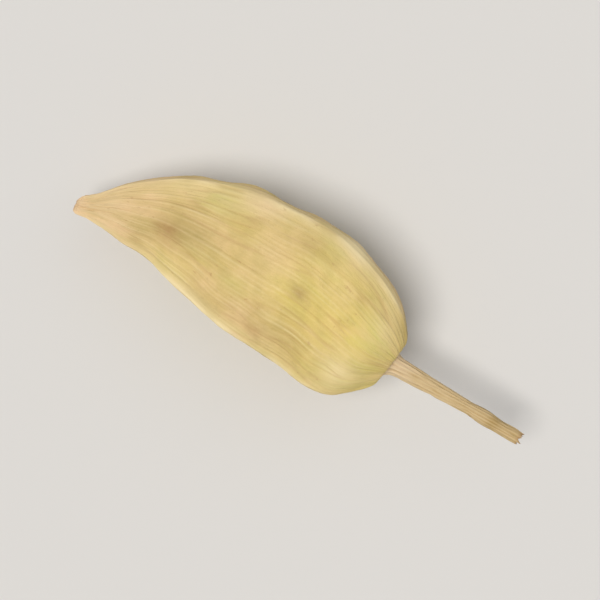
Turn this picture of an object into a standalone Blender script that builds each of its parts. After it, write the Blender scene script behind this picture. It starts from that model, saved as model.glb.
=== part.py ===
"""A dried green cardamom pod: a three-angled, ribbed husk with its stalk, lying on its side.

Metres, +Z up. The length runs along X, with the husk's tip at -X and the stalk at +X. The pod rests
on a small flat spot at Z = 0, and the origin is below the middle of its box.
"""

import math

import bmesh
import bpy
import numpy as np

MM = 0.001  # a millimetre in metres; the dimensions below are in millimetres

# Husk, from the tip to the floor of the stalk's socket: distance from the tip, half-width and
# how far the middle line stands to the side of the socket
HUSK_STATIONS = (
    (0.13, 0.00, -0.40),
    (0.00, 0.26, -0.40),
    (0.17, 0.45, -0.36),
    (0.85, 0.70, -0.06),
    (1.90, 1.27, 0.44),
    (3.00, 1.78, 0.78),
    (4.40, 2.26, 1.14),
    (6.80, 3.02, 1.24),
    (9.60, 3.54, 1.12),
    (12.40, 3.64, 0.94),
    (14.60, 3.40, 0.44),
    (16.10, 2.84, 0.06),
    (17.15, 1.88, 0.02),
    (17.62, 1.20, 0.00),
    (17.50, 0.80, 0.00),
    (17.05, 0.68, 0.00),
    (16.90, 0.00, 0.00),
)
HUSK_SEGMENTS = 120  # round the husk, four for each rib
HUSK_RINGS = 44  # from the tip to the socket
HUSK_DEPTH = 0.95  # height of the section against its width
BASE_SLANT = 0.16  # how far the broad end leans past square on its +Y side
BASE_SLANT_SPAN = (12.5, 16.8)
AXIS_RISE = 0.055  # rise of the middle line along the length, from lying on its belly
BALANCE = 9.8  # distance from the tip to the point that the weight stands over
FLAT_DEPTH = 0.30  # how much of the lowest ridge the flat spot takes away

# Section: three ridges and the faces between them, blended with a circle; angles go round from +Y to +Z
RIDGE_ANGLES = tuple(math.radians(degrees) for degrees in (40, 155, 268))
FACE_ANGLES = tuple(math.radians(degrees) for degrees in (97.5, 211.5, 334))
ANGULAR = 0.62  # 0 is a circle, 1 is flat faces between round corners
CIRCLE = 0.85
SOCKET_SPAN = (0.84, 0.92)  # shares of the way to the socket over which the section turns round

# Relief on the skin; a span is the distances from the tip where a part of it begins, is full, fades and ends
SKIN_FADE = 1.1  # half-width below which the relief fades towards the tip
RIBS = 30
RIB_HEIGHT = 0.034
RIB_SPAN = (2.0, 6.5, 14.8, 17.4)
NECK_RIBS = 15
NECK_RIB_HEIGHT = 0.022
NECK_SPAN = (2.0, 6.5)
RIB_DRIFT = ((2, 0.060, 1.0), (5, 0.035, 0.4))  # waves round the husk: count, angle, phase
CREST_HEIGHT = 0.15
CREST_WIDTH = 0.11  # radians
FURROW_DEPTH = 0.07
FURROW_WIDTH = 0.15
FURROW_SPAN = (1.5, 6.0, 14.5, 17.2)
SEED_PITCH = 2.9
SEED_BULGE = 0.070
SEED_SPREAD = 0.30  # radians
SEED_OFFSET = 0.46  # from a ridge to the seed rows on its two sides
SEED_PHASE_STEP = 2.4
SEED_SPAN = (3.0, 6.0, 14.0, 16.0)
# Dents of the dried skin: distance from the tip, angle in degrees, depth, length, width in degrees
DENTS = (
    (10.2, 6, 0.32, 1.0, 22),
    (6.2, 128, 0.12, 1.6, 20),
    (13.4, 96, 0.10, 1.5, 18),
    (5.6, 214, 0.20, 1.9, 22),
    (12.6, 205, 0.16, 1.8, 20),
    (8.6, 330, 0.22, 2.2, 20),
    (14.2, 338, 0.14, 1.4, 18),
)

# Stalk
STALK_START = 17.12  # in the socket, 0.15 clear of its floor and wall
STALK_END = 25.0
STALK_RADIUS = 0.31
STALK_ROOT = (0.19, 3.0)  # added radius and its length
STALK_TIP = (0.05, 0.9)
STALK_KNEE = (0.06, 0.6, 23.1)  # a swollen place, its length and distance from the husk's tip
STALK_LEAN = 0.35  # how far the far end stands to the -Y side of the socket
STALK_BOW = 0.04  # sideways bend at the middle, to +Y
STALK_DROOP = 0.55  # how far the far end hangs below the husk's middle line
STALK_POINTS = 22
STALK_BEVEL_RESOLUTION = 4

SHARP_ANGLE = math.radians(50)  # edges sharper than this are not shaded smooth
HUSK_COLOUR = (0.58, 0.47, 0.20, 1.0)
STALK_COLOUR = (0.50, 0.40, 0.22, 1.0)


def smooth_step(value, low, high):
    """0 up to low, 1 from high on, and a smooth rise between them."""
    share = np.clip((value - low) / (high - low), 0.0, 1.0)
    return share * share * (3.0 - 2.0 * share)


def over_span(distance, span):
    """1 between the middle two distances of a span, falling to 0 at its ends."""
    begins, full, fades, ends = span
    return smooth_step(distance, begins, full) * (1.0 - smooth_step(distance, fades, ends))


def hump(distance, width):
    """1 at the middle of a smooth bump, about a third at its width."""
    return np.exp(-((distance / width) ** 2))


def turn_between(angle, other):
    """The angle from other to angle, between minus and plus half a turn."""
    return (angle - other + math.pi) % (2.0 * math.pi) - math.pi


def meridian(along):
    """Distance from the tip, half-width and sideways place, at shares of the way to the socket.

    A cubic curve through the stations. Its speed follows the square root of their spacing, so
    that rings lie closer together at the tip and in the socket.
    """
    stations = np.array(HUSK_STATIONS)
    across = np.array((1.0, -1.0, 1.0))
    stations = np.vstack((stations[1] * across, stations, stations[-2] * across))
    steps = np.sqrt(np.linalg.norm(np.diff(stations, axis=0), axis=1))[:, None]
    slopes = np.diff(stations, axis=0) / steps
    tangents = (slopes[:-1] * steps[1:] + slopes[1:] * steps[:-1]) / (steps[:-1] + steps[1:])
    stations = stations[1:-1]
    steps = steps[1:-1, 0]
    knots = np.concatenate(((0.0,), np.cumsum(steps)))
    place = np.asarray(along) * knots[-1]
    piece = np.clip(np.searchsorted(knots, place, side="right") - 1, 0, len(steps) - 1)
    step = steps[piece][:, None]
    share = (place - knots[piece])[:, None] / step
    rest = 1.0 - share
    curve = (
        stations[piece] * rest**2 * (1.0 + 2.0 * share)
        + stations[piece + 1] * share**2 * (3.0 - 2.0 * share)
        + tangents[piece] * step * share * rest**2
        - tangents[piece + 1] * step * share**2 * rest
    )
    return curve.T


def three_angled(angle):
    """Radius of a triangle with rounded corners, which bulges between them."""
    flat = np.sqrt(sum(np.maximum(0.0, np.cos(angle - face)) ** 2 for face in FACE_ANGLES))
    return 1.0 / (ANGULAR * flat + (1.0 - ANGULAR) * CIRCLE)


def section(angle, roundness):
    """Radius of the husk's section for a half-width of 1, from three-angled to round."""
    around = np.linspace(0.0, 2.0 * math.pi, 721)
    reach = three_angled(around) * np.cos(around)
    half_width = (reach.max() - reach.min()) / 2.0
    return roundness + (1.0 - roundness) * three_angled(angle) / half_width


def seed_bulges(distance, angle):
    """Soft bumps where seeds press from inside, in two rows beside each ridge."""
    bumps = np.zeros_like(angle)
    for row in range(6):
        side = 1 - 2 * (row % 2)
        turn = turn_between(angle, RIDGE_ANGLES[row // 2] + side * SEED_OFFSET)
        wave = np.cos(2.0 * math.pi * distance / SEED_PITCH + SEED_PHASE_STEP * row)
        bumps += wave * hump(turn, SEED_SPREAD)
    return SEED_BULGE * bumps * over_span(distance, SEED_SPAN)


def relief(distance, angle):
    """Height of ribs, ridge crests, face furrows, seed bumps and dents over the plain section."""
    drift = sum(turn * np.sin(count * angle + phase) for count, turn, phase in RIB_DRIFT)
    neck = 1.0 - smooth_step(distance, *NECK_SPAN)
    height = RIB_HEIGHT * over_span(distance, RIB_SPAN) * np.cos(RIBS * (angle + drift))
    height += NECK_RIB_HEIGHT * neck * np.cos(NECK_RIBS * (angle + drift))
    furrow_depth = FURROW_DEPTH * over_span(distance, FURROW_SPAN)
    for ridge, face in zip(RIDGE_ANGLES, FACE_ANGLES):
        height += CREST_HEIGHT * hump(turn_between(angle, ridge), CREST_WIDTH)
        height -= furrow_depth * hump(turn_between(angle, face), FURROW_WIDTH)
    for place, degrees, depth, length, spread in DENTS:
        turn = turn_between(angle, math.radians(degrees))
        height -= depth * hump(distance - place, length) * hump(turn, math.radians(spread))
    return height + seed_bulges(distance, angle)


def middle_height(distance):
    """Height of the middle line against its height at the balance point."""
    return AXIS_RISE * (distance - BALANCE)


def husk_points(along, angle):
    """Points of the husk in millimetres from its tip, before the flat spot is made."""
    distance, half_width, sideways = meridian(along)
    roundness = smooth_step(along, *SOCKET_SPAN)
    skin = smooth_step(half_width, 0.0, SKIN_FADE) * (1.0 - roundness)
    radius = half_width * section(angle, roundness) + skin * relief(distance, angle)
    across = radius * np.cos(angle)
    leaning = BASE_SLANT * smooth_step(distance, *BASE_SLANT_SPAN)
    return np.column_stack(
        (
            distance + leaning * across,
            sideways + across,
            middle_height(distance) + HUSK_DEPTH * radius * np.sin(angle),
        )
    )


def material(name, colour, roughness):
    """A plain surface; its colour also shows in the viewport."""
    made = bpy.data.materials.new(name)
    made.use_nodes = True
    made.diffuse_color = colour
    shader = made.node_tree.nodes["Principled BSDF"]
    shader.inputs["Base Color"].default_value = colour
    shader.inputs["Roughness"].default_value = roughness
    shader.inputs["Metallic"].default_value = 0.0
    return made


def make_husk():
    """The husk's mesh: a sphere with its poles on X, each point moved by the formula."""
    bm = bmesh.new()
    bmesh.ops.create_uvsphere(bm, u_segments=HUSK_SEGMENTS, v_segments=HUSK_RINGS, radius=1.0)
    sphere = np.array([vert.co for vert in bm.verts])
    along = 1.0 - np.arccos(np.clip(sphere[:, 2], -1.0, 1.0)) / math.pi
    points = husk_points(along, np.arctan2(sphere[:, 1], sphere[:, 0]))
    points[:, 2] = np.maximum(points[:, 2], points[:, 2].min() + FLAT_DEPTH)
    for vert, point in zip(bm.verts, points * MM):
        vert.co = point
    mesh = bpy.data.meshes.new("capsule")
    bm.to_mesh(mesh)
    bm.free()
    mesh.shade_smooth()
    mesh.set_sharp_from_angle(angle=SHARP_ANGLE)
    return bpy.data.objects.new("capsule", mesh)


def stalk_radius(distance):
    """Radius of the stalk, thicker at its root, at its broken end and at one knee."""
    root, root_length = STALK_ROOT
    tip, tip_length = STALK_TIP
    knee, knee_length, knee_place = STALK_KNEE
    return (
        STALK_RADIUS
        + root * hump(distance - STALK_START, root_length)
        + tip * hump(distance - STALK_END, tip_length)
        + knee * hump(distance - knee_place, knee_length)
    )


def stalk_point(distance):
    """The stalk's middle line in millimetres from the husk's tip: a slight bow and droop."""
    share = (distance - STALK_START) / (STALK_END - STALK_START)
    sideways = STALK_BOW * math.sin(math.pi * share) - STALK_LEAN * share
    return distance, sideways, middle_height(distance) - STALK_DROOP * share**2


def make_stalk():
    """The stalk as a tube along its middle line, with a radius at each point."""
    curve = bpy.data.curves.new("stalk", "CURVE")
    curve.dimensions = "3D"
    curve.bevel_depth = MM
    curve.bevel_resolution = STALK_BEVEL_RESOLUTION
    curve.use_fill_caps = True
    spline = curve.splines.new("POLY")
    spline.points.add(STALK_POINTS - 1)
    for point, distance in zip(spline.points, np.linspace(STALK_START, STALK_END, STALK_POINTS)):
        point.co = (*(value * MM for value in stalk_point(distance)), 1.0)
        point.radius = stalk_radius(distance)
    spline.use_smooth = True
    return bpy.data.objects.new("stalk", curve)


def box_of(objects):
    """Lowest and highest corners of the objects' evaluated meshes."""
    graph = bpy.context.evaluated_depsgraph_get()
    corners = []
    for ob in objects:
        evaluated = ob.evaluated_get(graph)
        mesh = evaluated.to_mesh()
        corners += [ob.matrix_world @ vert.co for vert in mesh.vertices]
        evaluated.to_mesh_clear()
    corners = np.array(corners)
    return corners.min(axis=0), corners.max(axis=0)


def main():
    for ob in list(bpy.data.objects):
        bpy.data.objects.remove(ob)
    parts = bpy.data.collections.new("cardamom_pod")
    bpy.context.scene.collection.children.link(parts)
    husk = make_husk()
    husk.data.materials.append(material("husk", HUSK_COLOUR, 0.7))
    stalk = make_stalk()
    stalk.data.materials.append(material("stalk", STALK_COLOUR, 0.8))
    for ob in (husk, stalk):
        parts.objects.link(ob)
    bpy.context.view_layer.update()
    low, high = box_of((husk, stalk))
    for ob in (husk, stalk):
        ob.location = (-(low[0] + high[0]) / 2.0, -(low[1] + high[1]) / 2.0, -low[2])
    bpy.context.view_layer.update()


main()
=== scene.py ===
"""A dried green cardamom pod on a pale floor, seen from straight above.

Metres, +Z up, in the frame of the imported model; lengths in the constants are millimetres. The husk
and the stalk follow the formulas of their solids on finer grids, with the skin's veins, creases
and fibres added, and each takes its solid's place.
"""

import math

import bpy
import numpy as np
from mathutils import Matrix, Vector, noise


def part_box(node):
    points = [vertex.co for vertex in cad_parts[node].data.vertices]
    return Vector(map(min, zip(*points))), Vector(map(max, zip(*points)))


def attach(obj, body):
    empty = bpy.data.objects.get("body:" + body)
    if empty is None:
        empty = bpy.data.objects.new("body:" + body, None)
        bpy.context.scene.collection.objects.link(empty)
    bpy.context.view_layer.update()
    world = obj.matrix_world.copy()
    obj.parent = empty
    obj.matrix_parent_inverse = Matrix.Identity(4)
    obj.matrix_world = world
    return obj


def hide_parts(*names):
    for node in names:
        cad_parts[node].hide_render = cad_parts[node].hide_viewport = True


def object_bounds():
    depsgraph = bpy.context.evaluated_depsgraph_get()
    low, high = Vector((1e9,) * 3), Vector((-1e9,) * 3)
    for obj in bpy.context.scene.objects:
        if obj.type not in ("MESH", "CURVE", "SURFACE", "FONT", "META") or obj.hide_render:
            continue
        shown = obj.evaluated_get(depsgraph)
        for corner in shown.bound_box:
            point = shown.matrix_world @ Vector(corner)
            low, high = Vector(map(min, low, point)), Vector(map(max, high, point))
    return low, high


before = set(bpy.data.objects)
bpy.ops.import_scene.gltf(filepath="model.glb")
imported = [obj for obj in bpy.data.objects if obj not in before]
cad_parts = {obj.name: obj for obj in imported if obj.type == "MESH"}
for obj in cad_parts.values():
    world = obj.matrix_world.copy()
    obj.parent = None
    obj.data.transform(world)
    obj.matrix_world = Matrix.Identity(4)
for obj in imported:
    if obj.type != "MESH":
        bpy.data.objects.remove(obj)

MM = 0.001
cad_low, cad_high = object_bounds()

# Husk, from the tip to the floor of the stalk's socket: distance from the tip, half-width and
# how far the middle line stands to the side of the socket
HUSK_STATIONS = (
    (0.13, 0.00, -0.40),
    (0.00, 0.26, -0.40),
    (0.17, 0.45, -0.36),
    (0.85, 0.70, -0.06),
    (1.90, 1.27, 0.44),
    (3.00, 1.78, 0.78),
    (4.40, 2.26, 1.14),
    (6.80, 3.02, 1.24),
    (9.60, 3.54, 1.12),
    (12.40, 3.64, 0.94),
    (14.60, 3.40, 0.44),
    (16.10, 2.84, 0.06),
    (17.15, 1.88, 0.02),
    (17.62, 1.20, 0.00),
    (17.50, 0.80, 0.00),
    (17.05, 0.68, 0.00),
    (16.90, 0.00, 0.00),
)
HUSK_SEGMENTS = 480  # round the husk
HUSK_RINGS = 204  # from the tip to the socket
HUSK_DEPTH = 0.95  # height of the section against its width
BASE_SLANT = 0.16  # how far the broad end leans past square on its +Y side
BASE_SLANT_SPAN = (12.5, 16.8)
AXIS_RISE = 0.055  # rise of the middle line along the length, from lying on its belly
BALANCE = 9.8  # distance from the tip to the point that the weight stands over
FLAT_DEPTH = 0.30  # how much of the lowest ridge the flat spot takes away

# Section: three ridges and the faces between them, blended with a circle; angles go round from +Y to +Z
RIDGE_ANGLES = tuple(math.radians(degrees) for degrees in (40, 155, 268))
FACE_ANGLES = tuple(math.radians(degrees) for degrees in (97.5, 211.5, 334))
ANGULAR = 0.62  # 0 is a circle, 1 is flat faces between round corners
CIRCLE = 0.85
SOCKET_SPAN = (0.84, 0.92)  # shares of the way to the socket over which the section turns round
SECTION_SAMPLES = 721  # round the section, to measure its width

# Relief that the solid has too; a span is where a part of it begins, is full, fades and ends
SKIN_FADE = 1.1  # half-width below which the relief fades towards the tip
RIBS = 30
RIB_HEIGHT = 0.034
RIB_SPAN = (2.0, 6.5, 14.8, 17.4)
NECK_RIBS = 15
NECK_RIB_HEIGHT = 0.022
NECK_SPAN = (2.0, 6.5)
RIB_DRIFT = ((2, 0.060, 1.0), (5, 0.035, 0.4))  # waves round the husk: count, angle, phase
CREST_HEIGHT = 0.15
CREST_WIDTH = 0.11  # radians
FURROW_DEPTH = 0.07
FURROW_WIDTH = 0.15  # radians
FURROW_SPAN = (1.5, 6.0, 14.5, 17.2)
SEED_PITCH = 2.9
SEED_BULGE = 0.070
SEED_SPREAD = 0.30  # radians
SEED_OFFSET = 0.46  # from a ridge to the seed rows on its two sides
SEED_PHASE_STEP = 2.4  # radians from one row of seeds to the next
SEED_SPAN = (3.0, 6.0, 14.0, 16.0)
# Dents of the dried skin: distance from the tip, angle in degrees, depth, length, width in degrees
DENTS = (
    (10.2, 6, 0.32, 1.0, 22),
    (6.2, 128, 0.12, 1.6, 20),
    (13.4, 96, 0.10, 1.5, 18),
    (5.6, 214, 0.20, 1.9, 22),
    (12.6, 205, 0.16, 1.8, 20),
    (8.6, 330, 0.22, 2.2, 20),
    (14.2, 338, 0.14, 1.4, 18),
)

# Fine skin, only here: heights of what stands out, depths of what is drawn in
RIB_CREST_HEIGHT = 0.014
RIB_UNEVENNESS = 0.027  # how much lower a rib is where it fades out
VEINS = 3 * RIBS
VEIN_HEIGHT = 0.015
VEIN_WANDER = 0.018  # radians
RIB_LIGHT = 0.55  # how light the line on a rib is
VEIN_LIGHT = 0.45
CREASE_DEPTH = 0.020
CREASE_EDGE = 0.14  # level of the noise at which a crease ends
CRINKLE_HEIGHT = 0.012
NECK_FOLD_HEIGHT = 0.030
NECK_FOLD_SPAN = (1.8, 6.5)
LUMP_HEIGHT = 0.042
FOLD_HEIGHT = 0.034
LUMP_FADE = (0.8, 2.4)  # half-widths between which lumps and folds come in
PEBBLE_HEIGHT = 0.011
PEBBLE_SIZE = 0.24
SUTURE_HEIGHT = 0.060  # the raised line on a ridge
SUTURE_WIDTH = 0.045  # radians
SUTURE_SPAN = (2.0, 5.0, 15.6, 16.9)
SUTURE_LEAST = 0.25  # share of the suture that is left in its gaps
# Width of the painted highlight along each ridge
RIDGE_HIGHLIGHT_WIDTH = 1.6 * CREST_WIDTH
PUCKER_DEPTH = 0.050  # folds round the stalk's socket
PUCKERS = 17
PUCKER_SPAN = (15.6, 17.2)
TIP_ROUGHNESS = 0.045
TIP_GRAIN = 0.16
TIP_SPAN = (0.05, 0.80)
TIP_EDGE = (0.3, 0.5)  # how far the tip's edge wanders, and over what length
SCAR_SPAN = (0.14, 0.42)  # half-widths between which the scar on the end face fades
END_FADE = 0.02  # share of the way to the socket over which the fine skin comes in

# Noise on the skins: length and width of its cells, and a start that sets each pattern apart
GRAIN_RADIUS = 3.0  # the cells have their stated width at this distance from the middle line
CLOSING = 0.8  # they narrow where the husk's half-width is less
WANDER_GRAIN = (6.0, 1.1, 3.0)
RIB_GRAIN = (3.6, 1.0, 17.0)
VEIN_GRAIN = (2.4, 0.45, 29.0)
CREASE_GRAIN = (5.0, 0.46, 41.0)
CREASE_PLACES = (2.0, 1.2, 53.0)
CRINKLE_GRAIN = (0.34, 0.8, 67.0)
CRINKLE_PLACES = (2.2, 1.5, 71.0)
NECK_FOLD_GRAIN = (3.2, 0.40, 83.0)
LUMP_GRAIN = (1.7, 1.1, 97.0)
FOLD_GRAIN = (6.0, 0.9, 103.0)
SUTURE_GRAIN = (1.5, 2.4, 37.0)
PEBBLE_STARTS = (13.0, 23.0)
TIP_STARTS = (11.0, 5.0)

# Levels of that noise between which a part of the skin comes in
RIB_LEVELS = (-0.30, 0.45)
VEIN_LEVELS = (-0.40, 0.30)
CREASE_LEVELS = (-0.25, 0.25)
CRINKLE_LEVELS = (-0.1, 0.4)
SUTURE_LEVELS = (-0.45, 0.25)

# Stalk
STALK_START = 17.12  # in the socket
STALK_END = 25.0
STALK_RADIUS = 0.31
STALK_ROOT = (0.19, 3.0)  # added radius and its length
STALK_TIP = (0.05, 0.9)
STALK_KNEE = (0.06, 0.6, 23.1)  # a swollen place, its length and distance from the husk's tip
STALK_LEAN = 0.35  # how far the far end stands to the -Y side of the socket
STALK_BOW = 0.04  # sideways bend at the middle, to +Y
STALK_DROOP = 0.55  # how far the far end hangs below the husk's middle line
STALK_SEGMENTS = 96
STALK_RINGS = 300
STALK_FLARE = (0.46, 17.24, 0.42)  # how far the root spreads onto the husk, where, over what length
STALK_RING = (23.45, 0.30)  # a dark place past the knee, and its length
STALK_RING_WANDER = 0.12  # how far its edge strays along the stalk
FIBRES = 13
FIBRE_DEPTH = 0.034
FIBRE_TWIST = 0.10  # radians a millimetre
FIBRE_WANDER = 1.05  # radians of the fibres' wave
FINE_FIBRE_HEIGHT = 0.010
GROOVE_DEPTH = 0.030
GROOVE_EDGE = 0.2
STALK_LUMP_HEIGHT = 0.030
BREAK_SPAN = (STALK_END - 0.5, STALK_END)  # over which the stalk narrows and splinters
BREAK_NARROWING = 0.10  # share of the radius
BREAK_DEPTH = 0.15  # how deep the middle of the broken end lies
BREAK_TINT_SPAN = (STALK_END - 0.25, STALK_END)
SPLINTER_LENGTHS = (0.20, 0.16)  # of broad and of narrow splinters
NEAR_SPAN = (17.6, 19.6)  # over which the root's pale colour ends
FAR_SPAN = (19.0, 24.6)  # over which the stalk darkens
FIBRE_GRAIN = (2.5, 3.0, 7.0)
GROOVE_GRAIN = (2.2, 1.3, 19.0)
STALK_LUMP_GRAIN = (1.1, 2.4, 31.0)
STALK_RING_GRAIN = (1.0, 0.8, 47.0)
BREAK_GRAIN = (5.0, 1.2, 43.0)
SPLINTER_GRAIN = (1.0, 1.3, 59.0)
FINE_SPLINTER_GRAIN = (1.0, 0.28, 61.0)

# Patches of colour on the husk, among them painted highlights and painted shade: distance from the tip,
# angle in degrees, length, width in degrees and strength
PATCHES = {
    "green": (
        (6.4, 50, 1.4, 14, 0.9),
        (14.9, 104, 1.7, 26, 1.0),
        (16.2, 82, 1.2, 24, 0.6),
        (12.2, 88, 1.1, 11, 0.6),
        (9.0, 118, 2.0, 12, 0.3),
        (8.0, 215, 3.2, 26, 0.8),
        (12.5, 300, 2.8, 30, 0.8),
    ),
    "yellow": (
        (14.2, 98, 2.3, 34, 1.1),
        (11.7, 95, 1.3, 18, 0.75),
        (6.3, 44, 1.3, 11, 0.4),
        (9.0, 225, 3.0, 30, 0.5),
        (12.0, 320, 3.2, 28, 0.7),
    ),
    # Paler patches; the two at 13.4 mm on the first ridge are a painted highlight with a glint
    "pale": (
        (1.0, 90, 1.6, 110, 0.45),
        (4.3, 50, 1.4, 16, 0.20),
        (8.5, 48, 1.2, 12, 0.35),
        (13.4, 34, 1.2, 12, 0.65),
        (13.4, 24, 0.55, 12, 0.7),
        (16.2, 66, 0.9, 22, 0.35),
        (15.6, 128, 1.1, 18, 0.75),
        (6.4, 52, 1.4, 12, 0.3),
        (9.9, 84, 1.6, 14, 0.08),
        (7.2, 152, 1.8, 8, 0.4),
        (9.8, 270, 2.4, 9, 0.5),
    ),
    # Darker patches: partly duller skin, partly painted shade, as on the face beyond the first ridge
    # near the stalk and along the lower edge by the second ridge; a negative strength lightens
    "shade_and_dull": (
        (5.7, 97, 1.5, 24, 0.60),
        (3.6, 125, 1.0, 22, 0.28),
        (16.0, 84, 0.9, 18, -0.40),
        (6.2, 42, 1.3, 14, -0.12),
        (8.6, 52, 1.1, 12, -0.10),
        (11.9, 134, 1.8, 12, 0.28),
        (8.8, 155, 3.2, 9, 0.35),
        (12.0, 91, 0.7, 9, 0.5),
        (17.3, 10, 0.55, 30, 1.6),
        (11.0, 54, 1.4, 9, 0.16),
        (10.6, 30, 3.0, 9, 0.25),
        (7.0, 235, 2.6, 20, 0.35),
        (13.6, 200, 2.0, 18, 0.30),
        (11.0, 345, 2.6, 18, 0.35),
    ),
    "stain": (
        (4.9, 108, 0.60, 12, 1.0),
        (12.0, 92, 0.42, 5, 0.45),
        (10.9, 140, 0.50, 6, 0.5),
        (7.4, 205, 0.40, 5, 0.6),
        (13.4, 325, 0.45, 6, 0.7),
        (5.8, 320, 0.36, 8, 0.5),
    ),
}
BLUSHES = (
    (15.0, 14, 3.0, 16, 0.9),
    (6.4, 96, 1.6, 22, 0.3),
    (8.5, 42, 1.3, 10, 0.8),
    (9.9, 84, 1.5, 16, 0.15),
    (9.4, 134, 2.6, 14, 0.5),
    (12.0, 240, 3.5, 18, 0.6),
)
BEIGE_NECK = (1.5, 6.0)  # over which the neck's beige ends

# Colours, linear
STRAW = (0.68, 0.50, 0.170, 1.0)
GREEN = (0.58, 0.54, 0.130, 1.0)
YELLOW = (0.71, 0.548, 0.112, 1.0)
TAN = (0.77, 0.53, 0.280, 1.0)
PALE = (0.82, 0.68, 0.38, 1.0)
TIP_PALE = (0.86, 0.63, 0.385, 1.0)
BROWN = (0.38, 0.19, 0.075, 1.0)
# Olive, mixed in for duller skin and for painted shade
OLIVE = (0.40, 0.30, 0.09, 1.0)
STALK_ROOT_PALE = (0.78, 0.61, 0.44, 1.0)
STALK_PALE = (0.63, 0.465, 0.255, 1.0)
STALK_DARK = (0.40, 0.26, 0.09, 1.0)
FLOOR = (0.66, 0.65, 0.63, 1.0)

# Clouds of noise in the colours: scale along the pod against across it, scale, detail, and the
# levels that become 0 and 1
HUSK_CLOUDS = {
    "broad": (0.5, 0.55, 2.0, 0.38, 0.66),
    "mottle": (0.7, 0.9, 4.0, 0.34, 0.66),
    "blotch": (0.8, 2.2, 3.0, 0.40, 0.68),
    "streak": (0.14, 3.4, 4.0, 0.34, 0.66),
    "thread": (0.09, 10.0, 3.0, 0.32, 0.68),
    "pore": (0.8, 14.0, 3.0, 0.30, 0.70),
    "fleck": (0.6, 4.2, 3.0, 0.66, 0.76),
}
STALK_CLOUDS = {
    "streak": (0.25, 3.5, 3.0, 0.34, 0.66),
    "thread": (0.12, 12.0, 3.0, 0.30, 0.70),
}

# Shares of the husk's colours: of a cloud or a mask alone, or a cloud's swing and the least share
GREEN_CLOUD = 0.45
GREEN_STREAK = (0.6, 0.5)
YELLOW_MOTTLE = (0.3, 0.7)
BEIGE_MOTTLE = 0.36
BEIGE_MASK = 0.80
# Painted shade: share of olive between the ribs
VALLEY_SHADE = 0.16
VALLEY_THREAD = (0.6, 0.6)
DULL_CLOUDS = {"mottle": -0.20, "broad": -0.14, "blotch": 0.14, "pore": 0.06}
DULL_LEAST = 0.14
CREST_STREAK = (0.30, 0.12)
# Painted highlights along the ridges and on their sutures, where the skin is also paler
RIDGE_HIGHLIGHT = 0.22
SUTURE_MOTTLE = (0.8, 0.3)
SUTURE_HIGHLIGHT = 0.60
PALE_AND_HIGHLIGHT = 0.70
THREAD_LIGHT = 0.08
TIP_SHARE = 0.75
# Painted shade: share of brown in the creases
CREASE_SHADE = 0.22
STAIN_BLOTCH = (0.3, 0.40)
FLECK_BROWN = 0.40
SCAR_BROWN = 0.42

# Shares of the stalk's colours
NEAR_PALE = 0.6
FAR_DARK = 0.36
STREAK_DARK = 0.28
RING_DARK = 0.45
# Painted shade in the stalk's grooves
GROOVE_SHADE = 0.30
FIBRE_LIGHT = 0.28
BROKEN_BROWN = 0.45

# Surfaces: a cloud's swing in the roughness and the least of it, bumps and shine
HUSK_ROUGHNESS = (0.20, 0.46)
PORE_ROUGHNESS = 0.08
PORE_BUMP = 0.5
STALK_ROUGHNESS = (0.25, 0.55)
BUMP_HEIGHT = 0.010
HUSK_SHINE = 0.40
STALK_SHINE = 0.35
FLOOR_ROUGHNESS = 0.9
FLOOR_SHINE = 0.2

# Lights: a large soft one from above the lower left of the picture, and a weak, wider one from
# above its upper right; the low air matches the lit floor
KEY = {"place": (-0.16, -0.22, 1.0), "width": 28, "strength": 2.35, "colour": (1.0, 0.97, 0.93)}
FILL = {"place": (0.35, 0.55, 1.0), "width": 60, "strength": 0.32, "colour": (0.95, 0.97, 1.0)}
LOW_AIR = (0.71, 0.69, 0.65, 1.0)
HIGH_AIR = (0.27, 0.27, 0.28, 1.0)
AIR_RISE = 0.45  # how high above level, as a sine, the air has its upper colour
FLOOR_REACH = 3000.0  # from the middle to each side, wide enough for views from low down

# Camera, straight above, turned so that the pod lies as photographed
VIEW_TURN = 28.05  # degrees
VIEW_WIDTH = 30.0  # at the pod's middle height
VIEW_CENTRE = (-0.35, -0.23)
LENS = 100.0  # focal length


def smooth_step(value, low, high):
    """0 up to low, 1 from high on, and a smooth rise between them."""
    share = np.clip((value - low) / (high - low), 0.0, 1.0)
    return share * share * (3.0 - 2.0 * share)


def over_span(distance, span):
    """1 between the middle two distances of a span, falling to 0 at its ends."""
    begins, full, fades, ends = span
    return smooth_step(distance, begins, full) * (1.0 - smooth_step(distance, fades, ends))


def hump(distance, width):
    """1 at the middle of a smooth bump, about a third at its width."""
    return np.exp(-((distance / width) ** 2))


def turn_between(angle, other):
    """The angle from other to angle, between minus and plus half a turn."""
    return (angle - other + math.pi) % (2.0 * math.pi) - math.pi


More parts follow.
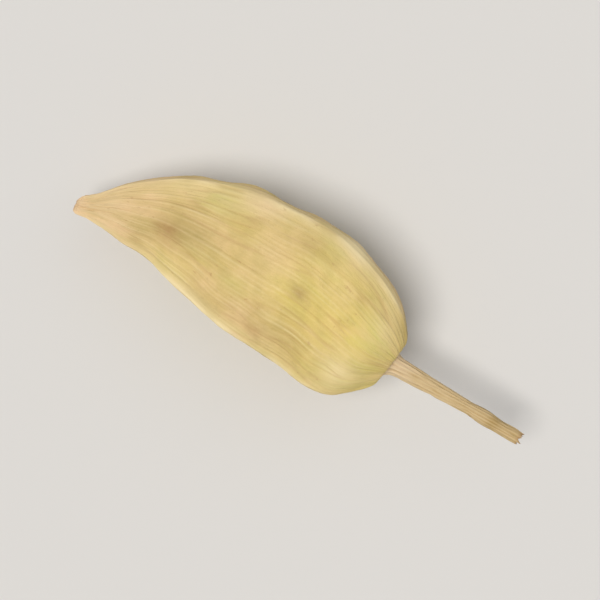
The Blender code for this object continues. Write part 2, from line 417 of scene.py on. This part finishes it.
def meridian(along):
    """Distance from the tip, half-width and sideways place, at shares of the way to the socket.

    A cubic curve through the stations. Its speed follows the square root of their spacing, so
    that rings lie closer together at the tip and in the socket.
    """
    stations = np.array(HUSK_STATIONS)
    across = np.array((1.0, -1.0, 1.0))
    stations = np.vstack((stations[1] * across, stations, stations[-2] * across))
    steps = np.sqrt(np.linalg.norm(np.diff(stations, axis=0), axis=1))[:, None]
    slopes = np.diff(stations, axis=0) / steps
    tangents = (slopes[:-1] * steps[1:] + slopes[1:] * steps[:-1]) / (steps[:-1] + steps[1:])
    stations = stations[1:-1]
    steps = steps[1:-1, 0]
    knots = np.concatenate(((0.0,), np.cumsum(steps)))
    place = np.asarray(along) * knots[-1]
    piece = np.clip(np.searchsorted(knots, place, side="right") - 1, 0, len(steps) - 1)
    step = steps[piece][:, None]
    share = (place - knots[piece])[:, None] / step
    rest = 1.0 - share
    curve = (
        stations[piece] * rest**2 * (1.0 + 2.0 * share)
        + stations[piece + 1] * share**2 * (3.0 - 2.0 * share)
        + tangents[piece] * step * share * rest**2
        - tangents[piece + 1] * step * share**2 * rest
    )
    return curve.T


def three_angled(angle):
    """Radius of a triangle with rounded corners, which bulges between them."""
    flat = np.sqrt(sum(np.maximum(0.0, np.cos(angle - face)) ** 2 for face in FACE_ANGLES))
    return 1.0 / (ANGULAR * flat + (1.0 - ANGULAR) * CIRCLE)


def section(angle, roundness):
    """Radius of the husk's section for a half-width of 1, from three-angled to round."""
    around = np.linspace(0.0, 2.0 * math.pi, SECTION_SAMPLES)
    reach = three_angled(around) * np.cos(around)
    half_width = (reach.max() - reach.min()) / 2.0
    return roundness + (1.0 - roundness) * three_angled(angle) / half_width


def seed_bulges(distance, angle):
    """Soft bumps where seeds press from inside, in two rows beside each ridge."""
    bumps = np.zeros_like(angle)
    for row in range(2 * len(RIDGE_ANGLES)):
        side = 1 - 2 * (row % 2)
        turn = turn_between(angle, RIDGE_ANGLES[row // 2] + side * SEED_OFFSET)
        wave = np.cos(2.0 * math.pi * distance / SEED_PITCH + SEED_PHASE_STEP * row)
        bumps += wave * hump(turn, SEED_SPREAD)
    return SEED_BULGE * bumps * over_span(distance, SEED_SPAN)


def rib_phase(angle):
    """The angle with the slight unevenness of the ribs' spacing."""
    return angle + sum(turn * np.sin(count * angle + phase) for count, turn, phase in RIB_DRIFT)


def relief(distance, angle):
    """Height of ribs, ridge crests, face furrows, seed bumps and dents over the plain section."""
    neck = 1.0 - smooth_step(distance, *NECK_SPAN)
    height = RIB_HEIGHT * over_span(distance, RIB_SPAN) * np.cos(RIBS * rib_phase(angle))
    height += NECK_RIB_HEIGHT * neck * np.cos(NECK_RIBS * rib_phase(angle))
    furrow_depth = FURROW_DEPTH * over_span(distance, FURROW_SPAN)
    for ridge, face in zip(RIDGE_ANGLES, FACE_ANGLES):
        height += CREST_HEIGHT * hump(turn_between(angle, ridge), CREST_WIDTH)
        height -= furrow_depth * hump(turn_between(angle, face), FURROW_WIDTH)
    for place, degrees, depth, length, spread in DENTS:
        turn = turn_between(angle, math.radians(degrees))
        height -= depth * hump(distance - place, length) * hump(turn, math.radians(spread))
    return height + seed_bulges(distance, angle)


def middle_height(distance):
    """Height of the middle line against its height at the balance point."""
    return AXIS_RISE * (distance - BALANCE)


def husk_points(along, angle):
    """Points of the husk in millimetres from its tip, before the flat spot is made."""
    distance, half_width, sideways = meridian(along)
    roundness = smooth_step(along, *SOCKET_SPAN)
    skin = smooth_step(half_width, 0.0, SKIN_FADE) * (1.0 - roundness)
    radius = half_width * section(angle, roundness) + skin * relief(distance, angle)
    across = radius * np.cos(angle)
    leaning = BASE_SLANT * smooth_step(distance, *BASE_SLANT_SPAN)
    return np.column_stack(
        (
            distance + leaning * across,
            sideways + across,
            middle_height(distance) + HUSK_DEPTH * radius * np.sin(angle),
        )
    )


def outward(along, angle, step=1e-4):
    """Unit vectors square to the husk, pointing out of it, and zero at its two poles."""
    ahead = husk_points(along + step, angle) - husk_points(along - step, angle)
    around = husk_points(along, angle + step) - husk_points(along, angle - step)
    square = np.cross(around, ahead)
    size = np.linalg.norm(square, axis=1)[:, None]
    return np.divide(square, size, out=np.zeros_like(square), where=size > 0.0)


def speckle(places, size, start):
    """Smooth noise of about -1 to 1 at points in millimetres, in cells of one size or of three."""
    return np.array([noise.noise(place) for place in (places / size + start).tolist()])


def unrolled(distance, angle, half_width=CLOSING):
    """Places for noise: they run on all the way round and close up where the husk does."""
    reach = GRAIN_RADIUS * np.sin(math.pi / 2.0 * np.minimum(half_width / CLOSING, 1.0))
    return np.column_stack((distance, reach * np.cos(angle), reach * np.sin(angle)))


def grain(place, length, width, start):
    """Noise over a skin in cells of a length and a width."""
    return speckle(place, np.array((length, width, width)), start)


def coming_in(place, pattern, levels):
    """0 to 1: where a part of the skin is there, by a pattern of noise and two of its levels."""
    return smooth_step(grain(place, *pattern), *levels)


def winding_lines(place, pattern, edge):
    """1 on the lines where a pattern of noise is 0, falling to 0 at the level of its edge."""
    return 1.0 - smooth_step(np.abs(grain(place, *pattern)), 0.0, edge)


def wave(angle):
    """0 to 1, once up and down in a full turn."""
    return 0.5 + 0.5 * np.cos(angle)


def patches(distance, angle, places):
    """Soft-edged patches at given places on the husk."""
    total = np.zeros_like(angle)
    for place, degrees, length, spread, strength in places:
        turn = turn_between(angle, math.radians(degrees))
        total += strength * hump(distance - place, length) * hump(turn, math.radians(spread))
    return total


def fine_ribs(distance, angle, place, wander):
    """Height of rib crests and of the veins between them, and the light line on each, 0 to 1."""
    rib_wave = np.cos(RIBS * rib_phase(angle))
    rib_strength = coming_in(place, RIB_GRAIN, RIB_LEVELS)
    rib = np.maximum(0.0, rib_wave) ** 3 * rib_strength
    vein = wave(VEINS * rib_phase(angle + wander)) ** 2 * coming_in(place, VEIN_GRAIN, VEIN_LEVELS)
    height = RIB_CREST_HEIGHT * rib + VEIN_HEIGHT * vein
    height -= RIB_UNEVENNESS * (1.0 - rib_strength) * over_span(distance, RIB_SPAN) * rib_wave
    return height, RIB_LIGHT * rib + VEIN_LIGHT * vein


def wrinkles(distance, half_width, place, points):
    """Height of pebbles, crinkles, lumps and folds."""
    height = PEBBLE_HEIGHT * speckle(points, PEBBLE_SIZE, PEBBLE_STARTS[0])
    height += PEBBLE_HEIGHT / 2.0 * speckle(points, PEBBLE_SIZE / 2.0, PEBBLE_STARTS[1])
    crinkle = grain(place, *CRINKLE_GRAIN) * coming_in(place, CRINKLE_PLACES, CRINKLE_LEVELS)
    neck = 1.0 - smooth_step(distance, *NECK_FOLD_SPAN)
    height += CRINKLE_HEIGHT * crinkle + NECK_FOLD_HEIGHT * neck * grain(place, *NECK_FOLD_GRAIN)
    lumps = LUMP_HEIGHT * grain(place, *LUMP_GRAIN) + FOLD_HEIGHT * grain(place, *FOLD_GRAIN)
    return height + lumps * smooth_step(half_width, *LUMP_FADE)


def ridge_lines(distance, angle, place, wander):
    """The broad strip along each ridge and the narrow broken suture on it, 0 to 1; both carry painted
    highlights.
    """
    strip = np.zeros_like(angle)
    suture = np.zeros_like(angle)
    for middle in RIDGE_ANGLES:
        turn = turn_between(angle, middle) + wander / 2.0
        strip += hump(turn, RIDGE_HIGHLIGHT_WIDTH)
        suture += hump(turn, SUTURE_WIDTH)
    gaps = coming_in(place, SUTURE_GRAIN, SUTURE_LEVELS)
    suture *= over_span(distance, SUTURE_SPAN) * (SUTURE_LEAST + (1.0 - SUTURE_LEAST) * gaps)
    return strip * (1.0 - smooth_step(distance, *SUTURE_SPAN[2:])), suture


def fine_skin(along, angle, points):
    """Height of the husk's fine structure in millimetres, with masks for its colours by name."""
    distance, half_width, _ = meridian(along)
    place = unrolled(distance, angle, half_width)
    wander = grain(place, *WANDER_GRAIN)
    height, crest = fine_ribs(distance, angle, place, VEIN_WANDER * wander)
    height += wrinkles(distance, half_width, place, points)
    crease = winding_lines(place, CREASE_GRAIN, CREASE_EDGE)
    crease *= coming_in(place, CREASE_PLACES, CREASE_LEVELS)
    height -= CREASE_DEPTH * crease
    strip, suture = ridge_lines(distance, angle, place, VEIN_WANDER * wander)
    height += SUTURE_HEIGHT * suture
    pucker = np.maximum(0.0, np.cos(PUCKERS * angle + 2.0 * wander)) ** 2
    height -= PUCKER_DEPTH * pucker * smooth_step(distance, *PUCKER_SPAN)
    edge_wander, edge_length = TIP_EDGE
    edge = distance + edge_wander * speckle(points, edge_length, TIP_STARTS[0])
    tip = 1.0 - smooth_step(edge, *TIP_SPAN)
    height += TIP_ROUGHNESS * tip * speckle(points, TIP_GRAIN, TIP_STARTS[1])
    open_skin = 1.0 - smooth_step(along, *SOCKET_SPAN)
    height *= smooth_step(along, 0.0, END_FADE) * open_skin
    masks = {
        "crest": np.clip(crest + suture / 2.0, 0.0, 1.0),
        "crease": crease * open_skin,
        "ridge": strip * open_skin,
        "suture": np.clip(suture * open_skin, 0.0, 1.0),
        "tip": tip,
        "scar": tip * (1.0 - smooth_step(half_width, *SCAR_SPAN)),
    }
    return height, masks


def ring_of_uvs(*corners):
    """UV places of a ring of faces: each corner is given as the faces' turns and one level."""
    columns = [column for turns, level in corners for column in (turns, np.full_like(turns, level))]
    return np.column_stack(columns).ravel()


def mesh_grid(name, rows, first, last):
    """A closed mesh of rings of points between two end points, with a UV map of turn and length."""
    rings, segments, _ = rows.shape
    points = np.vstack((first[None], rows.reshape(-1, 3), last[None]))
    ring = np.arange(segments)
    after = np.roll(ring, -1)
    bands = 1 + segments * np.arange(rings - 1)[:, None, None]
    corners = np.stack((ring, after, segments + after, segments + ring), axis=1)
    quads = (bands + corners[None]).reshape(-1, 4)
    end = 1 + segments * (rings - 1)
    fans = [(0, 1 + b, 1 + a) for a, b in zip(ring, after)]
    caps = [(end + a, end + b, end + segments) for a, b in zip(ring, after)]
    mesh = bpy.data.meshes.new(name)
    mesh.from_pydata(points.tolist(), [], fans + quads.tolist() + caps)
    left, middle, right = ((ring + share) / segments for share in (0.0, 0.5, 1.0))
    rise = np.arange(rings + 2) / (rings + 1.0)
    uvs = [ring_of_uvs((middle, rise[0]), (right, rise[1]), (left, rise[1]))]
    for low, high in zip(rise[1:-2], rise[2:-1]):
        uvs.append(ring_of_uvs((left, low), (right, low), (right, high), (left, high)))
    uvs.append(ring_of_uvs((left, rise[-2]), (right, rise[-2]), (middle, rise[-1])))
    layer = mesh.uv_layers.new(name="OFBake")
    layer.data.foreach_set("uv", np.concatenate(uvs))
    mesh.shade_smooth()
    piece = bpy.data.objects.new(name, mesh)
    bpy.context.scene.collection.objects.link(piece)
    return piece


def give(piece, name, values):
    """Stores a number, or a vector of three, for each point, for the material to read."""
    vector = values.ndim == 2
    attribute = piece.data.attributes.new(name, "FLOAT_VECTOR" if vector else "FLOAT", "POINT")
    attribute.data.foreach_set("vector" if vector else "value", values.astype(np.float32).ravel())


def angles_round(count):
    """Evenly spaced angles once round from the underside, where the UV map has its seam."""
    return -math.pi / 2.0 + 2.0 * math.pi * np.arange(count) / count


def make_husk():
    """The husk at its fine size, in the place of its solid."""
    shares = np.arange(1, HUSK_RINGS) / HUSK_RINGS
    angle = np.concatenate(((0.0,), np.tile(angles_round(HUSK_SEGMENTS), len(shares)), (0.0,)))
    along = np.concatenate(((0.0,), np.repeat(shares, HUSK_SEGMENTS), (1.0,)))
    plain = husk_points(along, angle)
    box = np.array((plain.min(axis=0), plain.max(axis=0)))
    box[0, 2] += FLAT_DEPTH
    low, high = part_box("capsule")
    offset = np.array(low + high) / 2.0 / MM - box.mean(axis=0)
    height, masks = fine_skin(along, angle, plain)
    points = (plain + outward(along, angle) * height[:, None] + offset) * MM
    points[:, 2] = np.maximum(points[:, 2], low.z)
    rows = points[1:-1].reshape(len(shares), HUSK_SEGMENTS, 3)
    husk = mesh_grid("husk_skin", rows, points[0], points[-1])
    distance, half_width, _ = meridian(along)
    give(husk, "skin_place", unrolled(distance, angle, half_width))
    for name, values in masks.items():
        give(husk, name, values)
    for name, places in PATCHES.items():
        give(husk, name, patches(distance, angle, places))
    beige = 1.0 - smooth_step(distance, *BEIGE_NECK) + patches(distance, angle, BLUSHES)
    give(husk, "beige", np.clip(beige, 0.0, 1.0))
    return husk, offset


def stalk_radius(distance):
    """Radius of the stalk, thicker at its root, at its broken end and at one knee."""
    root, root_length = STALK_ROOT
    tip, tip_length = STALK_TIP
    knee, knee_length, knee_place = STALK_KNEE
    return (
        STALK_RADIUS
        + root * hump(distance - STALK_START, root_length)
        + tip * hump(distance - STALK_END, tip_length)
        + knee * hump(distance - knee_place, knee_length)
    )


def stalk_point(distance):
    """The stalk's middle line in millimetres from the husk's tip: a slight bow and droop."""
    share = (distance - STALK_START) / (STALK_END - STALK_START)
    sideways = STALK_BOW * np.sin(math.pi * share) - STALK_LEAN * share
    return np.column_stack((distance, sideways, middle_height(distance) - STALK_DROOP * share**2))


def stalk_directions(distance, step=0.01):
    """Unit vectors along the stalk, across it and above it."""
    ahead = stalk_point(distance + step) - stalk_point(distance - step)
    ahead /= np.linalg.norm(ahead, axis=1)[:, None]
    across = np.cross((0.0, 0.0, 1.0), ahead)
    across /= np.linalg.norm(across, axis=1)[:, None]
    return ahead, across, np.cross(ahead, across)


def stalk_skin(distance, angle, turned):
    """Radius with the fibres, grooves, spreading root and narrowed end, and masks for the colours."""
    straight = unrolled(distance, angle)
    twisted = unrolled(distance, turned)
    phase = FIBRES * turned + FIBRE_WANDER * grain(straight, *FIBRE_GRAIN)
    fibre = wave(phase)
    groove = winding_lines(twisted, GROOVE_GRAIN, GROOVE_EDGE)
    flare, flare_place, flare_length = STALK_FLARE
    radius = stalk_radius(distance) + flare * hump(distance - flare_place, flare_length)
    radius += FIBRE_DEPTH * (fibre - 0.5) + FINE_FIBRE_HEIGHT * wave(3.0 * phase)
    radius += STALK_LUMP_HEIGHT * grain(straight, *STALK_LUMP_GRAIN) - GROOVE_DEPTH * groove
    narrowing = BREAK_NARROWING * (1.0 + grain(straight, *BREAK_GRAIN))
    radius *= 1.0 - narrowing * smooth_step(distance, *BREAK_SPAN)
    ring_place, ring_length = STALK_RING
    ring_wander = STALK_RING_WANDER * grain(twisted, *STALK_RING_GRAIN)
    masks = {
        "crest": fibre,
        "crease": groove,
        "near": 1.0 - smooth_step(distance, *NEAR_SPAN),
        "far": smooth_step(distance, *FAR_SPAN),
        "ring": hump(distance + ring_wander - ring_place, ring_length),
        "broken": smooth_step(distance, *BREAK_TINT_SPAN),
    }
    return radius, masks


def splinters(distance, turned):
    """How far the broken end's splinters stand out along the stalk, and the gaps go in."""
    cut = unrolled(0.0 * distance, turned)
    broad, narrow = SPLINTER_LENGTHS
    ragged = broad * grain(cut, *SPLINTER_GRAIN) + narrow * grain(cut, *FINE_SPLINTER_GRAIN)
    return ragged * smooth_step(distance, *BREAK_SPAN)


def make_stalk(offset):
    """The stalk at its fine size, in the place of its solid."""
    distance = np.repeat(np.linspace(STALK_START, STALK_END, STALK_RINGS), STALK_SEGMENTS)
    angle = np.tile(angles_round(STALK_SEGMENTS), STALK_RINGS)
    turned = angle + FIBRE_TWIST * (distance - STALK_START)
    radius, masks = stalk_skin(distance, angle, turned)
    ahead, across, above = stalk_directions(distance)
    points = stalk_point(distance) + splinters(distance, turned)[:, None] * ahead
    points += radius[:, None] * (np.cos(angle)[:, None] * across + np.sin(angle)[:, None] * above)
    rows = ((points + offset) * MM).reshape(STALK_RINGS, STALK_SEGMENTS, 3)
    first, last = (stalk_point(np.array((STALK_START, STALK_END - BREAK_DEPTH))) + offset) * MM
    stalk = mesh_grid("stalk_skin", rows, first, last)
    masks["skin_place"] = np.column_stack((distance, np.cos(turned), np.sin(turned)))
    for name, values in masks.items():
        give(stalk, name, np.concatenate((values[:1], values, values[-1:])))
    return stalk


def add(tree, kind, sockets=(), **settings):
    """A shader node with its settings; each socket gets a value, or a link from another socket."""
    made = tree.nodes.new(kind)
    for name, value in settings.items():
        setattr(made, name, value)
    for name, value in dict(sockets).items():
        if isinstance(value, bpy.types.NodeSocket):
            tree.links.new(value, made.inputs[name])
        else:
            made.inputs[name].default_value = value
    return made


def mixed(tree, share, low, high):
    """A colour between two, by a share."""
    return add(tree, "ShaderNodeMix", {0: share, 6: low, 7: high}, data_type="RGBA").outputs[2]


def reckon(tree, operation, *values, clamp=False):
    """A number worked out from others."""
    made = add(tree, "ShaderNodeMath", enumerate(values), operation=operation, use_clamp=clamp)
    return made.outputs[0]


def stored(tree, name):
    """The number that the piece's points hold under a name."""
    return add(tree, "ShaderNodeAttribute", attribute_name=name).outputs["Fac"]


def cloud(tree, place, along, scale, detail, low, high):
    """Noise from 0 to 1, stretched along the pod, with its contrast set by low and high."""
    sockets = {0: place, 1: (along, 1.0, 1.0)}
    moved = add(tree, "ShaderNodeVectorMath", sockets, operation="MULTIPLY").outputs[0]
    raw = add(tree, "ShaderNodeTexNoise", {"Vector": moved, "Scale": scale, "Detail": detail}).outputs[0]
    sockets = {"Value": raw, "From Min": low, "From Max": high}
    return add(tree, "ShaderNodeMapRange", sockets, interpolation_type="SMOOTHSTEP").outputs[0]


def clouds_of(tree, kinds):
    """The clouds of a material by name, at the places that the piece's points hold."""
    place = add(tree, "ShaderNodeAttribute", attribute_name="skin_place").outputs["Vector"]
    return {name: cloud(tree, place, *kind) for name, kind in kinds.items()}


def new_material(name):
    """A material with its node tree and its Principled BSDF."""
    made = bpy.data.materials.new(name)
    made.use_nodes = True
    return made, made.node_tree, made.node_tree.nodes["Principled BSDF"]


def finish_surface(tree, shader, colour, rough, bumps, shine):
    """Joins a colour, a roughness and the height of fine bumps to the shader, and sets its shine."""
    tree.links.new(colour, shader.inputs["Base Color"])
    tree.links.new(rough, shader.inputs["Roughness"])
    sockets = {"Strength": 1.0, "Distance": BUMP_HEIGHT * MM, "Height": bumps}
    bump = add(tree, "ShaderNodeBump", sockets)
    tree.links.new(bump.outputs["Normal"], shader.inputs["Normal"])
    shader.inputs["Specular IOR Level"].default_value = shine


def with_hues(tree, clouds):
    """Straw with green and yellow patches, and beige on the neck and in blushes."""
    green = reckon(tree, "MULTIPLY_ADD", clouds["broad"], GREEN_CLOUD, stored(tree, "green"))
    streak = reckon(tree, "MULTIPLY_ADD", clouds["streak"], *GREEN_STREAK)
    colour = mixed(tree, reckon(tree, "MULTIPLY", green, streak, clamp=True), STRAW, GREEN)
    mottle = reckon(tree, "MULTIPLY_ADD", clouds["mottle"], *YELLOW_MOTTLE)
    yellow = reckon(tree, "MULTIPLY", stored(tree, "yellow"), mottle, clamp=True)
    colour = mixed(tree, yellow, colour, YELLOW)
    beige = reckon(tree, "MULTIPLY", clouds["mottle"], BEIGE_MOTTLE)
    beige = reckon(tree, "MULTIPLY_ADD", stored(tree, "beige"), BEIGE_MASK, beige, clamp=True)
    return mixed(tree, beige, colour, TAN)


def with_dull_and_painted_shade(tree, clouds, colour):
    """Darker olive: painted shade between the ribs and in some patches, duller skin in clouds and other
    patches.
    """
    # Painted shade between the ribs, where the crest mask is low
    valley = reckon(tree, "MULTIPLY_ADD", stored(tree, "crest"), -VALLEY_SHADE, VALLEY_SHADE)
    thread = reckon(tree, "MULTIPLY_ADD", clouds["thread"], *VALLEY_THREAD)
    shade_and_dull = reckon(tree, "MULTIPLY", valley, thread)
    for name, share in DULL_CLOUDS.items():
        shade_and_dull = reckon(tree, "MULTIPLY_ADD", clouds[name], share, shade_and_dull)
    # Patches of duller skin and of painted shade
    shade_and_dull = reckon(tree, "ADD", stored(tree, "shade_and_dull"), shade_and_dull)
    return mixed(tree, reckon(tree, "ADD", shade_and_dull, DULL_LEAST, clamp=True), colour, OLIVE)


def with_pale_and_highlights(tree, clouds, colour):
    """Paler veins and patches, painted highlights along the ridges, their sutures and two patches, and
    the pale tip.
    """
    mottle = reckon(tree, "MULTIPLY_ADD", clouds["mottle"], *SUTURE_MOTTLE)
    suture = reckon(tree, "MULTIPLY", stored(tree, "suture"), mottle)
    streak = reckon(tree, "MULTIPLY_ADD", clouds["streak"], *CREST_STREAK)
    light = reckon(tree, "MULTIPLY", stored(tree, "crest"), streak)
    # Painted highlights along the ridges and on their sutures
    light = reckon(tree, "MULTIPLY_ADD", stored(tree, "ridge"), RIDGE_HIGHLIGHT, light)
    light = reckon(tree, "MULTIPLY_ADD", suture, SUTURE_HIGHLIGHT, light)
    # Paler patches, two of them a painted highlight
    light = reckon(tree, "MULTIPLY_ADD", stored(tree, "pale"), PALE_AND_HIGHLIGHT, light)
    light = reckon(tree, "MULTIPLY_ADD", clouds["thread"], THREAD_LIGHT, light, clamp=True)
    colour = mixed(tree, light, colour, PALE)
    return mixed(tree, reckon(tree, "MULTIPLY", stored(tree, "tip"), TIP_SHARE), colour, TIP_PALE)


def with_crease_shade_and_stains(tree, clouds, colour):
    """Painted shade in the creases, in brown, and brown in stains and flecks and on the tip's scar."""
    # Painted shade in the creases
    crease = reckon(tree, "MULTIPLY", stored(tree, "crease"), CREASE_SHADE)
    colour = mixed(tree, crease, colour, BROWN)
    blotch = reckon(tree, "MULTIPLY_ADD", clouds["blotch"], *STAIN_BLOTCH)
    stain = reckon(tree, "MULTIPLY", stored(tree, "stain"), blotch)
    fleck = reckon(tree, "MULTIPLY", clouds["fleck"], FLECK_BROWN)
    scar = reckon(tree, "MULTIPLY", stored(tree, "scar"), SCAR_BROWN)
    stain = reckon(tree, "MAXIMUM", reckon(tree, "MAXIMUM", stain, fleck), scar)
    return mixed(tree, stain, colour, BROWN)


def husk_material():
    """Papery straw skin: green patches, beige neck, pale veins, brown stains, painted highlights on the
    ridges and painted shade in creases, valleys and patches.
    """
    made, tree, shader = new_material("husk_skin")
    clouds = clouds_of(tree, HUSK_CLOUDS)
    colour = with_hues(tree, clouds)
    for layer in (with_dull_and_painted_shade, with_pale_and_highlights, with_crease_shade_and_stains):
        colour = layer(tree, clouds, colour)
    rough = reckon(tree, "MULTIPLY_ADD", clouds["thread"], *HUSK_ROUGHNESS)
    rough = reckon(tree, "MULTIPLY_ADD", clouds["pore"], PORE_ROUGHNESS, rough)
    bumps = reckon(tree, "MULTIPLY_ADD", clouds["pore"], PORE_BUMP, clouds["thread"])
    finish_surface(tree, shader, colour, rough, bumps, HUSK_SHINE)
    return made


def stalk_material():
    """Dry beige fibres, pale at the root and darker towards the broken end, with painted shade in the
    grooves.
    """
    made, tree, shader = new_material("stalk_fibre")
    clouds = clouds_of(tree, STALK_CLOUDS)
    near = reckon(tree, "MULTIPLY", stored(tree, "near"), NEAR_PALE)
    colour = mixed(tree, near, STALK_PALE, STALK_ROOT_PALE)
    dark = reckon(tree, "MULTIPLY", stored(tree, "far"), FAR_DARK)
    dark = reckon(tree, "MULTIPLY_ADD", clouds["streak"], STREAK_DARK, dark)
    dark = reckon(tree, "MULTIPLY_ADD", stored(tree, "ring"), RING_DARK, dark)
    # Painted shade in the grooves
    dark = reckon(tree, "MULTIPLY_ADD", stored(tree, "crease"), GROOVE_SHADE, dark, clamp=True)
    colour = mixed(tree, dark, colour, STALK_DARK)
    light = reckon(tree, "MULTIPLY", stored(tree, "crest"), FIBRE_LIGHT)
    colour = mixed(tree, light, colour, PALE)
    broken = reckon(tree, "MULTIPLY", stored(tree, "broken"), BROKEN_BROWN)
    colour = mixed(tree, broken, colour, BROWN)
    rough = reckon(tree, "MULTIPLY_ADD", clouds["thread"], *STALK_ROUGHNESS)
    finish_surface(tree, shader, colour, rough, clouds["thread"], STALK_SHINE)
    return made


def make_floor():
    """A plain pale floor."""
    half = FLOOR_REACH * MM
    corners = [(-half, -half, 0.0), (half, -half, 0.0), (half, half, 0.0), (-half, half, 0.0)]
    mesh = bpy.data.meshes.new("floor")
    mesh.from_pydata(corners, [], [(0, 1, 2, 3)])
    floor = bpy.data.objects.new("floor", mesh)
    bpy.context.scene.collection.objects.link(floor)
    made, _, shader = new_material("floor_matt")
    shader.inputs["Base Color"].default_value = FLOOR
    shader.inputs["Roughness"].default_value = FLOOR_ROUGHNESS
    shader.inputs["Specular IOR Level"].default_value = FLOOR_SHINE
    mesh.materials.append(made)


def make_sun(name, place, width, strength, colour):
    """A far soft light of a width in degrees, which shines from a place towards the middle."""
    data = bpy.data.lights.new(name, "SUN")
    data.angle = math.radians(width)
    data.energy = strength
    data.color = colour
    light = bpy.data.objects.new(name, data)
    light.rotation_mode = "QUATERNION"
    light.rotation_quaternion = Vector(place).to_track_quat("Z", "Y")
    bpy.context.scene.collection.objects.link(light)


def make_air():
    """Light from all round: the lit floor's colour at level, and darker grey overhead."""
    world = bpy.data.worlds.new("air")
    world.use_nodes = True
    tree = world.node_tree
    way = add(tree, "ShaderNodeTexCoord").outputs["Generated"]
    height = add(tree, "ShaderNodeSeparateXYZ", {0: way}).outputs[2]
    sockets = {"Value": height, "From Min": 0.0, "From Max": AIR_RISE}
    rise = add(tree, "ShaderNodeMapRange", sockets, interpolation_type="SMOOTHSTEP").outputs[0]
    tree.links.new(mixed(tree, rise, LOW_AIR, HIGH_AIR), tree.nodes["Background"].inputs["Color"])
    bpy.context.scene.world = world


def make_camera(middle):
    """A camera straight above the pod's middle height."""
    data = bpy.data.cameras.new("camera")
    data.lens = LENS
    data.clip_start = MM
    camera = bpy.data.objects.new("camera", data)
    away = VIEW_WIDTH * MM * LENS / data.sensor_width
    camera.location = (VIEW_CENTRE[0] * MM, VIEW_CENTRE[1] * MM, middle + away)
    camera.rotation_euler = (0.0, 0.0, math.radians(VIEW_TURN))
    bpy.context.scene.collection.objects.link(camera)
    bpy.context.scene.camera = camera


def main():
    husk, offset = make_husk()
    husk.data.materials.append(husk_material())
    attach(husk, "root")
    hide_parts("capsule")
    stalk = make_stalk(offset)
    stalk.data.materials.append(stalk_material())
    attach(stalk, "root")
    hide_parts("stalk")
    make_floor()
    make_sun("key", **KEY)
    make_sun("fill", **FILL)
    make_air()
    make_camera((cad_low.z + cad_high.z) / 2.0)
    bpy.context.scene.view_settings.view_transform = "Standard"


main()
